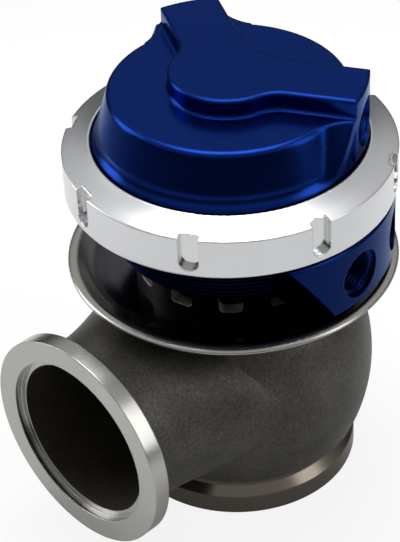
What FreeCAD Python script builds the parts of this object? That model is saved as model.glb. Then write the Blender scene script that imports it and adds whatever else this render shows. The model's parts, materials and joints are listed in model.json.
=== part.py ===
import FreeCAD, Part
import math
import os

import Sketcher

# Turbo wastegate with a 40 mm class valve, in millimetres.
# The origin is the centre of the inlet flange's bottom face. +Z is the valve's axis,
# from the inlet up to the cap, and the outlet leaves along -Y.

os.makedirs("parts", exist_ok=True)

DOC = FreeCAD.newDocument("Wastegate")
SHEET = DOC.addObject("Spreadsheet::Sheet", "Sizes")

DIMENSIONS = (
    ("inlet_rim_r", 30.7, "inlet V-band rim, radius"),
    ("inlet_rim_w", 5.2, "inlet V-band rim, height"),
    ("inlet_neck_r", 28.5, "neck above the inlet rim, radius"),
    ("inlet_neck_z", 7.5, "where the inlet rim's slope meets the neck"),
    ("inlet_bore_r", 19.0, "inlet bore, radius"),
    ("inlet_neck_h", 1.2, "upright stretch of the neck"),
    ("barrel_foot_r", 31.6, "cast barrel at its foot, radius"),
    ("barrel_step", 2.9, "height of the slope from the neck out to the barrel"),
    ("barrel_top_r", 31.0, "cast barrel at its shoulder, radius"),
    ("barrel_bow", 48.0, "bow of the barrel's side, radius"),
    ("shoulder_z", 49.5, "shoulder of the barrel, height"),
    ("deck_r", 26.0, "machined top deck of the body, radius"),
    ("body_top", 57.1, "height of the body's top deck"),
    ("wall", 4.5, "wall of the casting"),
    ("chamber_floor", 14.0, "floor of the valve chamber, level with the seat"),
    ("deck_wall", 8.1, "casting between the chamber's roof and the top deck"),
    ("outlet_z", 33.9, "outlet axis, height"),
    ("outlet_reach", 56.35, "outlet face, distance from the valve's axis"),
    ("outlet_rim_r", 28.0, "outlet V-band rim, radius"),
    ("outlet_rim_w", 4.45, "outlet V-band rim, width"),
    ("outlet_slope_w", 1.6, "sloping back of the outlet rim, width"),
    ("outlet_recess_r", 22.3, "recess in the outlet face, radius"),
    ("outlet_recess_d", 2.0, "recess in the outlet face, depth"),
    ("outlet_bore_r", 20.55, "outlet bore, radius"),
    ("pipe_r", 23.0, "outlet pipe, outside radius"),
    ("pipe_w", 8.3, "straight stretch of the pipe behind the rim"),
    ("blend_w", 10.0, "first stretch of the pipe's widening"),
    ("blend_end", 14.0, "end of the widening inside the barrel, distance from the axis"),
    ("blend_mid_r", 25.8, "half width of the pipe in the middle of the widening"),
    ("blend_end_r", 31.5, "half width of the pipe at the end of the widening"),
    ("seat_r", 22.5, "valve seat ring, outside radius"),
    ("seat_w", 5.0, "valve seat ring, height"),
    ("seat_face", 1.7, "width of the 45 degree seat face"),
    ("seat_gap", 0.05, "gap between the valve and its seat"),
    ("valve_edge", 1.5, "rim of the valve head, height"),
    ("valve_back", 9.0, "height of the curved back of the valve head"),
    ("stem_r", 4.0, "valve stem, radius"),
    ("stem_gap", 0.05, "running clearance round the stem"),
    ("stem_thread_r", 3.0, "threaded end of the stem, radius"),
    ("stem_end", 1.6, "stem showing above its nut"),
    ("guide_r", 7.0, "valve guide, outside radius"),
    ("guide_boss_r", 11.0, "boss that holds the guide, radius"),
    ("guide_boss_d", 5.0, "boss that holds the guide, depth below the roof"),
    ("guide_low", 2.0, "guide showing below its boss"),
    ("guide_high", 3.9, "guide showing above the deck"),
    ("scraper_h", 2.5, "stem scraper ring, height"),
    ("body_gasket_t", 0.5, "gasket on the body's deck, thickness"),
    ("gasket_bore_r", 12.0, "hole in the gasket, shield and ring foot, radius"),
    ("shield_t", 0.8, "heat shield sheet, thickness"),
    ("shield_floor_w", 6.0, "flat floor of the heat shield outside the slotted ring"),
    ("shield_bowl_r", 10.3, "curve of the heat shield's wall, radius"),
    ("shield_bowl_w", 6.5, "width of the heat shield's curved wall"),
    ("shield_lip_z", 2.3, "inner edge of the lip above the floor"),
    ("shield_lip_w", 4.55, "width of the shield's lip"),
    ("shield_roll_z", 3.85, "rolled edge of the shield above the floor"),
    ("shield_roll_w", 2.25, "rolled edge of the shield, width"),
    ("shield_roll_r", 2.01, "rolled edge of the shield, radius of its crown"),
    ("ring_room", 0.55, "room between the screw heads and the slotted ring"),
    ("ring_wall", 3.2, "slotted ring, wall"),
    ("ring_h", 9.8, "slotted ring, height"),
    ("ring_foot", 1.8, "foot of the slotted ring, thickness"),
    ("window_sill", 2.6, "window sill above the foot of the ring"),
    ("window_h", 5.2, "window, height"),
    ("window_w", 5.9, "window, width"),
    ("window_round", 1.2, "corner radius of a window"),
    ("window_turn", 13.0, "angle of the first window"),
    ("heat_gasket_t", 0.8, "insulating gasket under the housing, thickness"),
    ("block_turn", 19.0, "direction of the port block"),
    ("screw_room", 1.75, "room between the seal's boss and the screw heads"),
    ("screw_r", 2.5, "housing screw, radius"),
    ("screw_hole_gap", 0.25, "clearance round the housing screws"),
    ("screw_head_r", 4.25, "housing screw head, radius"),
    ("screw_head_h", 5.0, "housing screw head, height"),
    ("screw_socket_r", 2.3, "hexagon socket, corner radius"),
    ("screw_socket_d", 2.6, "hexagon socket, depth"),
    ("screw_grip", 7.0, "screw thread in the body, length"),
    ("screw_seat", 2.0, "housing floor under a screw head"),
    ("housing_wall", 2.1, "wall of the housing at the foot of its cone"),
    ("fin_slope", 0.6, "widening of the finned cone per unit of height"),
    ("fin_pitch", 2.1, "spacing of the fins"),
    ("fin_first", 1.5, "first groove above the foot"),
    ("fin_gap", 0.9, "groove between two fins, height"),
    ("fin_depth", 1.7, "groove between two fins, depth"),
    ("housing_floor", 4.0, "floor of the housing, thickness"),
    ("chamber_step", 5.5, "pressure chamber, narrower at its floor by"),
    ("clamp_w", 4.3, "width of the diaphragm clamp"),
    ("clamp_z", 19.0, "diaphragm clamp above the housing's underside"),
    ("clamp_h", 2.0, "depth of the diaphragm clamp"),
    ("clamp_wall", 1.4, "threaded rim round the diaphragm clamp, wall"),
    ("thread_gap", 0.06, "clearance between the collar and the threaded rim"),
    ("block_in", 0.47, "outer face of the port block, inside the collar's outside"),
    ("block_drop", 3.5, "port block below the housing's underside"),
    ("block_gap", 1.05, "gap between the block and the collar"),
    ("block_foot_w", 18.8, "half width of the block at its foot"),
    ("block_head_w", 28.6, "half width of the block at its head"),
    ("block_edge", 0.5, "chamfer along the block's head"),
    ("port_z", 4.3, "housing ports above the housing's underside"),
    ("port_turn", 15.0, "angle of a housing port from the block's middle"),
    ("port_r", 5.1, "threaded port, radius"),
    ("port_mouth_r", 6.2, "mouth of a port, radius"),
    ("port_mouth_d", 1.5, "mouth of a port, depth"),
    ("port_d", 9.0, "threaded port, depth"),
    ("drilling_r", 1.6, "drilling from a port into its chamber, radius"),
    ("seal_boss_w", 2.5, "wall of the boss round the stem seal"),
    ("seal_boss_h", 4.0, "boss round the stem seal, height above the floor"),
    ("stem_hole_gap", 0.3, "clearance of the stem in the housing"),
    ("seal_w", 4.0, "stem seal, width"),
    ("seal_floor", 2.5, "housing under the stem seal"),
    ("seal_h", 3.0, "stem seal, height"),
    ("seal_washer_t", 0.8, "washer over the stem seal, thickness"),
    ("snap_t", 1.0, "snap ring, thickness"),
    ("snap_bite", 0.6, "depth of the snap ring's groove"),
    ("snap_w", 1.4, "snap ring, width"),
    ("snap_open", 30.0, "gap in the snap ring, half angle"),
    ("plate_z", 8.4, "diaphragm plate above the housing's underside"),
    ("plate_in", 0.9, "diaphragm plate, smaller than the spring cup by"),
    ("plate_t", 1.2, "diaphragm plate, thickness"),
    ("diaphragm_t", 1.2, "diaphragm, thickness"),
    ("diaphragm_out", 0.8, "flat middle of the diaphragm outside the spring cup"),
    ("diaphragm_roll", 6.3, "rolled side of the diaphragm, width"),
    ("diaphragm_edge_t", 1.9, "clamped edge of the diaphragm, thickness"),
    ("cup_room", 0.7, "room between the outer spring and the cup's rim"),
    ("cup_t", 1.6, "spring cup, thickness"),
    ("cup_rim", 2.5, "rim of the spring cup above its floor"),
    ("cup_step_room", 1.35, "room between the middle spring and the step inside it"),
    ("cup_step", 1.0, "step that centres the springs, height"),
    ("washer_r", 7.5, "washer under the stem nut, radius"),
    ("washer_t", 1.2, "washer under the stem nut, thickness"),
    ("nut_flats", 10.0, "stem nut across its flats"),
    ("nut_h", 5.0, "stem nut, height"),
    ("outer_wire", 3.0, "outer spring, wire"),
    ("outer_turns", 4.0, "outer spring, turns"),
    ("middle_wire", 2.5, "middle spring, wire"),
    ("middle_turns", 5.0, "middle spring, turns"),
    ("inner_wire", 2.2, "inner spring, wire"),
    ("inner_coil_r", 10.8, "inner spring, mean radius"),
    ("coil_step", 5.4, "from one spring to the next, mean radius"),
    ("inner_turns", 6.0, "inner spring, turns"),
    ("collar_wall", 2.61, "lock collar, wall outside its thread"),
    ("collar_z", 14.85, "foot of the collar above the housing's underside"),
    ("collar_wall_h", 10.55, "upright wall of the collar, height"),
    ("collar_h", 13.55, "lock collar, height"),
    ("collar_bevel_w", 4.67, "width of the collar's top, out from where it turns to its lip"),
    ("collar_bevel_h", 12.35, "height of that turn above the collar's foot"),
    ("collar_lip_w", 7.07, "width of the collar from its outside to the hole in its lip"),
    ("notch_w", 4.9, "tool notch, width"),
    ("notch_d", 1.6, "tool notch, depth"),
    ("notch_round", 2.5, "rounded foot of a notch, radius"),
    ("notch_low", 1.4, "lowest point of a notch above the collar's foot"),
    ("notch_turn", 30.5, "angle of the first notch"),
    ("edge", 0.4, "small broken edge"),
    ("cap_gap", 0.05, "clearance where the cap turns"),
    ("cap_flange_gap", 0.2, "flange of the cap, smaller than the threaded rim by"),
    ("cap_flange_h", 4.15, "flange of the cap, height"),
    ("cap_neck_gap", 0.6, "gap between the collar's lip and the neck of the cap"),
    ("cap_flare_h", 7.9, "start of the flare above the flange's underside"),
    ("cap_flare_w", 2.6, "height of the flare"),
    ("cap_flare_in", 1.3, "flare, from the neck in to the sloping wall"),
    ("cap_flare_round", 3.2, "hollow of the flare, radius"),
    ("cap_lean", 3.0, "sloping wall, from its foot in to the deck"),
    ("cap_h", 20.45, "deck above the flange's underside"),
    ("cap_round", 1.4, "rounded edge of the deck"),
    ("cap_roof", 3.5, "roof of the cap, thickness"),
    ("cap_wall", 3.2, "wall of the cap at its neck"),
    ("cap_top_wall", 3.9, "wall of the cap at its deck"),
    ("boss_h", 4.7, "raised hub and arms above the deck"),
    ("hub_r", 14.3, "hub of the cap, radius"),
    ("arm_turn", 61.0, "angle of each arm from +Y"),
    ("arm_w", 7.4, "half width of an arm"),
    ("arm_out", 0.5, "end of an arm outside the cap's neck"),
    ("lobe_sink", 0.15, "lobe under an arm, sunk into the sloping wall"),
    ("lobe_deck_turn", 28.3, "start of a lobe at the deck, angle from its arm"),
    ("lobe_deck_round", 12.4, "hollow of a lobe at the deck, radius"),
    ("lobe_foot_turn", 35.0, "start of a lobe at the foot, angle from its arm"),
    ("lobe_foot_end", 25.5, "corner of a lobe at the foot, angle from its arm"),
    ("lobe_foot_round", 20.0, "hollow of a lobe at the foot, radius"),
    ("arm_front_round", 9.0, "hollow between the hub and an arm, radius"),
    ("arm_back_round", 19.0, "hollow between the two arms, radius"),
    ("boss_edge", 0.7, "rounded top edge of the hub and arms"),
    ("boss_foot", 0.8, "hollow at the foot of the hub and arms, radius"),
    ("lobe_ledge", 1.0, "lobe beside its arm at the deck"),
    ("cap_port_z", 5.2, "cap ports below the deck"),
    ("cap_port_d", 6.2, "threaded cap port, depth"),
)

WINDOWS = 12
SCREWS = 6
NOTCHES = 8
FINS = 6
HEXAGON = 6
FULL_TURN = 360.0


class Size:
    """A size with its value and the sheet expression that it comes from."""

    def __init__(self, value, text):
        self.value = float(value)
        self.text = text

    def __add__(self, other):
        other = sized(other)
        return Size(self.value + other.value, "(%s + %s)" % (self.text, other.text))

    def __sub__(self, other):
        other = sized(other)
        return Size(self.value - other.value, "(%s - %s)" % (self.text, other.text))

    def __mul__(self, other):
        other = sized(other)
        return Size(self.value * other.value, "(%s * %s)" % (self.text, other.text))

    def __truediv__(self, other):
        other = sized(other)
        return Size(self.value / other.value, "(%s / %s)" % (self.text, other.text))

    def __neg__(self):
        return Size(-self.value, "(0 - %s)" % self.text)

    def root(self):
        return Size(math.sqrt(self.value), "sqrt(%s)" % self.text)

    def cos(self):
        return Size(math.cos(math.radians(self.value)), "cos(%s * 1 deg)" % self.text)

    def sin(self):
        return Size(math.sin(math.radians(self.value)), "sin(%s * 1 deg)" % self.text)


def sized(number):
    """A plain number as a Size."""
    if isinstance(number, Size):
        return number
    return Size(number, repr(float(number)))


class Sheet:
    """The driving dimensions by name, each as a Size bound to its cell."""


def fill_sheet():
    """Write the driving dimensions into the spreadsheet and return them by name."""
    named = Sheet()
    for row, (alias, value, note) in enumerate(DIMENSIONS, start=1):
        SHEET.set("A%d" % row, note)
        SHEET.set("B%d" % row, str(value))
        SHEET.setAlias("B%d" % row, alias)
        setattr(named, alias, Size(value, "Sizes.%s" % alias))
    DOC.recompute()
    return named


D = fill_sheet()
ZERO = sized(0)
RIGHT = sized(90)
SIXTH = sized(60)

# Radii that build on each other, from the stem out to the heat shield.
SEAL_R = D.stem_r + D.seal_w
SEAL_BOSS_R = SEAL_R + D.seal_boss_w
SCREW_CIRCLE = SEAL_BOSS_R + D.screw_room + D.screw_head_r
RING_IN_R = SCREW_CIRCLE + D.screw_head_r + D.ring_room
RING_R = RING_IN_R + D.ring_wall
SHIELD_FLOOR_R = RING_R + D.shield_floor_w
SHIELD_LIP_R = SHIELD_FLOOR_R + D.shield_bowl_w
SHIELD_R = SHIELD_LIP_R + D.shield_lip_w

# Radii that build on each other, from the inner spring out to the lock collar.
MIDDLE_COIL_R = D.inner_coil_r + D.coil_step
OUTER_COIL_R = MIDDLE_COIL_R + D.coil_step
CUP_R = OUTER_COIL_R + D.outer_wire / 2 + D.cup_room + D.cup_t
CUP_STEP_R = MIDDLE_COIL_R - D.middle_wire / 2 - D.cup_step_room
DIAPHRAGM_FLAT_R = CUP_R + D.diaphragm_out
CLAMP_IN_R = DIAPHRAGM_FLAT_R + D.diaphragm_roll
CLAMP_OUT_R = CLAMP_IN_R + D.clamp_w
THREAD_R = CLAMP_OUT_R + D.clamp_wall
COLLAR_R = THREAD_R + D.thread_gap + D.collar_wall
COLLAR_LIP_R = COLLAR_R - D.collar_lip_w
BLOCK_R = COLLAR_R - D.block_in
CHAMBER_R = CLAMP_IN_R - D.chamber_step
FIN_FOOT_R = CHAMBER_R + D.housing_wall
CAP_NECK_R = COLLAR_LIP_R - D.cap_neck_gap
CAP_WALL_R = CAP_NECK_R - D.cap_flare_in
CAP_DECK_R = CAP_WALL_R - D.cap_lean
CAP_ROOF_R = CAP_DECK_R - D.cap_top_wall
ARM_R = CAP_NECK_R + D.arm_out

# Levels of the stack, from the body's deck up to the cap.
SHIELD_Z = D.body_top + D.body_gasket_t
RING_Z = SHIELD_Z + D.shield_t
RING_TOP = RING_Z + D.ring_h
HOUSING_Z = RING_TOP + D.heat_gasket_t
FLOOR_Z = HOUSING_Z + D.housing_floor
SEAL_Z = HOUSING_Z + D.seal_floor
SEAL_WASHER_Z = SEAL_Z + D.seal_h
SNAP_Z = SEAL_WASHER_Z + D.seal_washer_t
CLAMP_Z = HOUSING_Z + D.clamp_z
PLATE_Z = HOUSING_Z + D.plate_z
DIAPHRAGM_Z = PLATE_Z + D.plate_t
CUP_Z = DIAPHRAGM_Z + D.diaphragm_t
SPRING_Z = CUP_Z + D.cup_t
WASHER_Z = SPRING_Z
NUT_Z = WASHER_Z + D.washer_t
CAP_Z = CLAMP_Z + D.clamp_h + D.cap_gap
FLANGE_TOP = CAP_Z + D.cap_flange_h
CAP_FOOT_Z = CAP_Z + D.cap_flare_h
DECK_Z = CAP_Z + D.cap_h
ROOF_Z = DECK_Z - D.cap_roof
BOSS_TOP = DECK_Z + D.boss_h
COLLAR_Z = HOUSING_Z + D.collar_z
COLLAR_TOP = COLLAR_Z + D.collar_h
SEAT_Z = D.chamber_floor - D.seat_w
CHAMBER_ROOF = D.body_top - D.deck_wall


def new_body(label):
    """An empty body whose label is the name of the piece."""
    body = DOC.addObject("PartDesign::Body", label)
    body.Label = label
    return body


def origin_plane(body, role):
    """One of the body's own origin planes."""
    for feature in body.Origin.OriginFeatures:
        if feature.Role == role:
            return feature
    raise ValueError("no origin plane called " + role)


def new_sketch(body, name, role, height=None, turn=None):
    """A sketch on an origin plane, raised by height or turned about Z."""
    sketch = body.newObject("Sketcher::SketchObject", name)
    sketch.AttachmentSupport = (origin_plane(body, role), "")
    sketch.MapMode = "FlatFace"
    if height is not None:
        sketch.AttachmentOffset = FreeCAD.Placement(FreeCAD.Vector(0, 0, height.value), FreeCAD.Rotation())
        sketch.setExpression("AttachmentOffset.Base.z", height.text)
    if turn is not None:
        upright = FreeCAD.Vector(0, 1, 0)
        sketch.AttachmentOffset = FreeCAD.Placement(FreeCAD.Vector(), FreeCAD.Rotation(upright, turn.value))
        sketch.setExpression("AttachmentOffset.Rotation.Angle", turn.text)
    return sketch


def hold(sketch, geometry, end, x, y):
    """Hold one point of the sketch at x, y from the sketch's origin."""
    for kind, size in (("DistanceX", x), ("DistanceY", y)):
        index = sketch.addConstraint(Sketcher.Constraint(kind, -1, 1, geometry, end, size.value))
        sketch.setExpression("Constraints[%d]" % index, size.text)


def set_radius(sketch, geometry, radius):
    """Bind the radius of an arc or circle."""
    index = sketch.addConstraint(Sketcher.Constraint("Radius", geometry, radius.value))
    sketch.setExpression("Constraints[%d]" % index, radius.text)


def arc_through(start, end, radius):
    """An arc of a known radius from start to end, counter-clockwise for a positive radius.

    It returns the arc and which of its ends the start and the end are.
    """
    chord = end - start
    half = chord.Length / 2
    rise = math.sqrt(max(radius * radius - half * half, 0.0))
    side = FreeCAD.Vector(-chord.y, chord.x, 0)
    side.normalize()
    centre = (start + end) * 0.5 + side * (rise if radius > 0 else -rise)
    first = math.atan2(start.y - centre.y, start.x - centre.x)
    last = math.atan2(end.y - centre.y, end.x - centre.x)
    circle = Part.Circle(centre, FreeCAD.Vector(0, 0, 1), abs(radius))
    if radius > 0:
        return Part.ArcOfCircle(circle, first, last), 1, 2
    return Part.ArcOfCircle(circle, last, first), 2, 1


def round_corner(before, corner, after, radius):
    """The two tangent points of a rounded corner, and the sign of its turn."""
    back = (before - corner).normalize()
    ahead = (after - corner).normalize()
    half_angle = back.getAngle(ahead) / 2
    reach = radius / math.tan(half_angle)
    turn = back.x * ahead.y - back.y * ahead.x
    return corner + back * reach, corner + ahead * reach, (-1 if turn > 0 else 1)


def outline(sketch, corners):
    """Draw a closed loop whose corners are held by sizes.

    A corner is (x, y), (x, y, "round", radius) for a rounded corner, or (x, y, "bow", radius)
    where the run to the next corner is an arc, counter-clockwise for a positive radius.
    """
    count = len(corners)
    points = [FreeCAD.Vector(corner[0].value, corner[1].value, 0) for corner in corners]
    kinds = [corner[2] if len(corner) > 2 else "sharp" for corner in corners]
    enter = list(points)
    leave = list(points)
    turns = [0] * count
    for i in range(count):
        if kinds[i] == "round":
            enter[i], leave[i], turns[i] = round_corner(
                points[i - 1], points[i], points[(i + 1) % count], corners[i][3].value)
    runs = []
    for i in range(count):
        start = leave[i]
        end = enter[(i + 1) % count]
        if kinds[i] == "bow":
            arc, first, last = arc_through(start, end, corners[i][3].value)
            runs.append((sketch.addGeometry(arc), first, last))
        else:
            runs.append((sketch.addGeometry(Part.LineSegment(start, end)), 1, 2))
    for i, corner in enumerate(corners):
        before, before_end = runs[i - 1][0], runs[i - 1][2]
        after, after_end = runs[i][0], runs[i][1]
        if kinds[i] == "round":
            arc, first, last = arc_through(enter[i], leave[i], turns[i] * corner[3].value)
            bend = sketch.addGeometry(arc)
            mark = sketch.addGeometry(Part.Point(points[i]), True)
            sketch.addConstraint(Sketcher.Constraint("Tangent", before, before_end, bend, first))
            sketch.addConstraint(Sketcher.Constraint("Tangent", bend, last, after, after_end))
            sketch.addConstraint(Sketcher.Constraint("PointOnObject", mark, 1, before))
            sketch.addConstraint(Sketcher.Constraint("PointOnObject", mark, 1, after))
            set_radius(sketch, bend, corner[3])
            hold(sketch, mark, 1, corner[0], corner[1])
        else:
            sketch.addConstraint(Sketcher.Constraint("Coincident", before, before_end, after, after_end))
            hold(sketch, after, after_end, corner[0], corner[1])
        if kinds[i] == "bow":
            bow = corner[3] if corner[3].value > 0 else -corner[3]
            set_radius(sketch, after, bow)


def circle(sketch, x, y, radius):
    """Draw a circle held by sizes."""
    shape = Part.Circle(FreeCAD.Vector(x.value, y.value, 0), FreeCAD.Vector(0, 0, 1), radius.value)
    geometry = sketch.addGeometry(shape)
    set_radius(sketch, geometry, radius)
    hold(sketch, geometry, 3, x, y)


def side_axis(sketch, x_from, x_to, y):
    """A construction line at height y, used as an axis."""
    start = FreeCAD.Vector(x_from.value, y.value, 0)
    end = FreeCAD.Vector(x_to.value, y.value, 0)
    line = sketch.addGeometry(Part.LineSegment(start, end), True)
    hold(sketch, line, 1, x_from, y)
    hold(sketch, line, 2, x_to, y)


def spin(body, name, sketch, kind="Revolution", axis="V_Axis"):
    """Revolve a sketch a full turn, to add it or, as a Groove, to cut it."""
    feature = body.newObject("PartDesign::" + kind, name)
    feature.Profile = sketch
    feature.ReferenceAxis = (sketch, [axis])
    feature.Angle = FULL_TURN
    sketch.Visibility = False
    return feature


def turned(body, name, corners, kind="Revolution"):
    """A piece or cut turned about Z from its half section, given as radius and height."""
    sketch = new_sketch(body, name + "_section", "XZ_Plane")
    outline(sketch, corners)
    return spin(body, name, sketch, kind)


def ring(body, name, inner, outer, low, high, kind="Revolution"):
    """A plain ring about Z."""
    return turned(body, name, [(inner, low), (outer, low), (outer, high), (inner, high)], kind)


def extrude(body, name, sketch, length, kind="Pad", back=False):
    """Pad or pocket a sketch along its normal, or against it."""
    feature = body.newObject("PartDesign::" + kind, name)
    feature.Profile = sketch
    feature.Length = length.value
    feature.setExpression("Length", length.text)
    feature.Reversed = back
    sketch.Visibility = False
    return feature


def around(body, name, features, count):
    """Repeat features evenly about Z."""
    pattern = body.newObject("PartDesign::PolarPattern", name)
    pattern.Originals = features
    for feature in body.Origin.OriginFeatures:
        if feature.Role == "Z_Axis":
            pattern.Axis = (feature, [""])
    pattern.Angle = FULL_TURN
    pattern.Occurrences = count
    body.Tip = pattern
    return pattern


def turn_body(body, angle):
    """Place a body turned about Z."""
    upright = FreeCAD.Vector(0, 0, 1)
    body.Placement = FreeCAD.Placement(FreeCAD.Vector(), FreeCAD.Rotation(upright, angle.value))
    body.setExpression("Placement.Rotation.Angle", angle.text)


def screw_holes(body, low, high, turn, radius):
    """Holes for the housing screws, from low to high."""
    sketch = new_sketch(body, "screw_hole", "XY_Plane", height=low)
    circle(sketch, SCREW_CIRCLE * turn.cos(), SCREW_CIRCLE * turn.sin(), radius)
    hole = extrude(body, "screw_hole_cut", sketch, high - low, "Pocket", back=True)
    return around(body, "screw_holes", [hole], SCREWS)


def port(body, name, turn, outer_r, height, depth, reach):
    """A threaded port with its mouth, and its drilling down to the radius called reach."""
    sketch = new_sketch(body, name + "_section", "XZ_Plane", turn=turn)
    outside = outer_r + D.port_mouth_d
    floor = outer_r - depth
    outline(sketch, [
        (reach, height),
        (outside, height),
        (outside, height + D.port_mouth_r),
        (outer_r - D.port_mouth_d, height + D.port_mouth_r),
        (outer_r - D.port_mouth_d - D.edge, height + D.port_r),
        (floor, height + D.port_r),
        (floor, height + D.drilling_r),
        (reach, height + D.drilling_r),
    ])
    side_axis(sketch, reach, outside, height)
    return spin(body, name, sketch, "Groove", "Axis0")


def valve_body():
    """The cast body: barrel, outlet pipe, two V-band rims, chamber and passages."""
    body = new_body("valve_body")
    neck_top = D.inlet_neck_z + D.inlet_neck_h
    turned(body, "barrel", [
        (ZERO, ZERO),
        (D.inlet_rim_r, ZERO),
        (D.inlet_rim_r, D.inlet_rim_w),
        (D.inlet_neck_r, D.inlet_neck_z),
        (D.inlet_neck_r, neck_top),
        (D.barrel_foot_r, neck_top + D.barrel_step, "bow", D.barrel_bow),
        (D.barrel_top_r, D.shoulder_z),
        (D.deck_r, D.body_top),
        (ZERO, D.body_top),
    ])
    back = D.outlet_reach - D.outlet_rim_w
    slope_end = back - D.outlet_slope_w
    blend_start = slope_end - D.pipe_w
    sections = []
    for name, reach, width in (
            ("pipe_face", slope_end, D.pipe_r),
            ("pipe_start", blend_start, D.pipe_r),
            ("pipe_mid", blend_start - D.blend_w, D.blend_mid_r),
            ("pipe_end", D.blend_end, D.blend_end_r)):
        sections.append(pipe_section(body, name, reach, width))
    pipe = body.newObject("PartDesign::AdditiveLoft", "outlet_pipe")
    pipe.Profile = sections[0]
    pipe.Sections = sections[1:]
    sketch = new_sketch(body, "outlet_rim_section", "YZ_Plane")
    outline(sketch, [
        (-D.outlet_reach, D.outlet_z),
        (-D.outlet_reach, D.outlet_z + D.outlet_rim_r),
        (-back, D.outlet_z + D.outlet_rim_r),
        (-slope_end, D.outlet_z + D.pipe_r + D.edge),
        (-slope_end, D.outlet_z),
    ])
    side_axis(sketch, -D.outlet_reach, -back, D.outlet_z)
    spin(body, "outlet_rim", sketch, "Revolution", "Axis0")
    inner_bow = D.barrel_bow - D.wall
    boss_low = CHAMBER_ROOF - D.guide_boss_d
    turned(body, "chamber", [
        (ZERO, -D.edge),
        (D.inlet_bore_r, -D.edge),
        (D.inlet_bore_r, SEAT_Z),
        (D.seat_r, SEAT_Z),
        (D.seat_r, D.chamber_floor),
        (D.barrel_foot_r - D.wall, D.chamber_floor, "bow", inner_bow),
        (D.barrel_top_r - D.wall, CHAMBER_ROOF),
        (D.guide_boss_r, CHAMBER_ROOF),
        (D.guide_boss_r, boss_low),
        (D.guide_r, boss_low),
        (D.guide_r, D.body_top + D.edge),
        (ZERO, D.body_top + D.edge),
    ], "Groove")
    sketch = new_sketch(body, "outlet_bore_section", "YZ_Plane")
    outline(sketch, [
        (-(D.outlet_reach + D.edge), D.outlet_z),
        (-(D.outlet_reach + D.edge), D.outlet_z + D.outlet_recess_r),
        (-(D.outlet_reach - D.outlet_recess_d), D.outlet_z + D.outlet_recess_r),
        (-(D.outlet_reach - D.outlet_recess_d), D.outlet_z + D.outlet_bore_r),
        (-D.blend_end, D.outlet_z + D.outlet_bore_r),
        (-D.blend_end, D.outlet_z),
    ])
    side_axis(sketch, -D.outlet_reach, -D.blend_end, D.outlet_z)
    spin(body, "outlet_bore", sketch, "Groove", "Axis0")
    screw_holes(body, D.body_top - D.screw_grip, D.body_top + D.edge, D.block_turn, D.screw_r)
    return body


def pipe_section(body, name, reach, width):
    """An elliptical section of the outlet pipe, at a distance from the valve's axis."""
    sketch = new_sketch(body, name, "XZ_Plane", height=reach)
    centre = FreeCAD.Vector(0, D.outlet_z.value, 0)
    if width is D.pipe_r:
        circle(sketch, ZERO, D.outlet_z, width)
        return sketch
    ellipse = sketch.addGeometry(Part.Ellipse(centre, width.value, D.pipe_r.value))
    sketch.exposeInternalGeometry(ellipse)
    hold(sketch, ellipse, 3, ZERO, D.outlet_z)
    for geometry in range(ellipse + 1, ellipse + 3):
        line = sketch.Geometry[geometry]
        level = abs(line.StartPoint.y - line.EndPoint.y) < D.edge.value
        length = width * 2 if level else D.pipe_r * 2
        index = sketch.addConstraint(Sketcher.Constraint("Distance", geometry, length.value))
        sketch.setExpression("Constraints[%d]" % index, length.text)
        if level:
            sketch.addConstraint(Sketcher.Constraint("Horizontal", geometry))
    return sketch


def valve_seat():
    """The hardened seat ring pressed into the body, with its 45 degree face."""
    body = new_body("valve_seat")
    turned(body, "seat", [
        (D.inlet_bore_r, SEAT_Z),
        (D.seat_r, SEAT_Z),
        (D.seat_r, D.chamber_floor),
        (D.inlet_bore_r + D.seat_face, D.chamber_floor),
        (D.inlet_bore_r, D.chamber_floor - D.seat_face),
    ])
    return body


def valve():
    """The poppet valve: head with its seat face, curved back, stem and threaded end."""
    body = new_body("valve")
    face_r = D.inlet_bore_r + D.seat_face
    edge_z = D.chamber_floor + D.seat_gap
    back_z = edge_z + D.valve_edge
    top = NUT_Z + D.nut_h + D.stem_end
    turned(body, "poppet", [
        (ZERO, edge_z - D.seat_face),
        (face_r - D.seat_face, edge_z - D.seat_face),
        (face_r, edge_z),
        (face_r, back_z, "bow", -(D.valve_back + D.valve_back)),
        (D.stem_r, back_z + D.valve_back),
        (D.stem_r, PLATE_Z),
        (D.stem_thread_r, PLATE_Z),
        (D.stem_thread_r, top - D.edge),
        (D.stem_thread_r - D.edge, top),
        (ZERO, top),
    ])
    return body


def valve_guide():
    """The bush pressed into the body that guides the stem."""
    body = new_body("valve_guide")
    low = CHAMBER_ROOF - D.guide_boss_d - D.guide_low
    high = D.body_top + D.guide_high
    bore = D.stem_r + D.stem_gap
    turned(body, "guide", [
        (bore, low),
        (D.guide_r - D.edge, low),
        (D.guide_r, low + D.edge),
        (D.guide_r, high - D.edge),
        (D.guide_r - D.edge, high),
        (bore, high),
    ])
    return body


def stem_scraper():
    """The ring on top of the guide that keeps soot off the stem."""
    body = new_body("stem_scraper")
    low = D.body_top + D.guide_high
    ring(body, "scraper", D.stem_r + D.stem_gap, D.guide_r, low, low + D.scraper_h)
    return body


def body_gasket():
    """The gasket between the body's deck and the heat shield."""
    body = new_body("body_gasket")
    ring(body, "gasket", D.gasket_bore_r, RING_R, D.body_top, SHIELD_Z)
    screw_holes(body, D.body_top - D.edge, SHIELD_Z + D.edge, D.block_turn, D.screw_r + D.screw_hole_gap)
    return body


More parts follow.
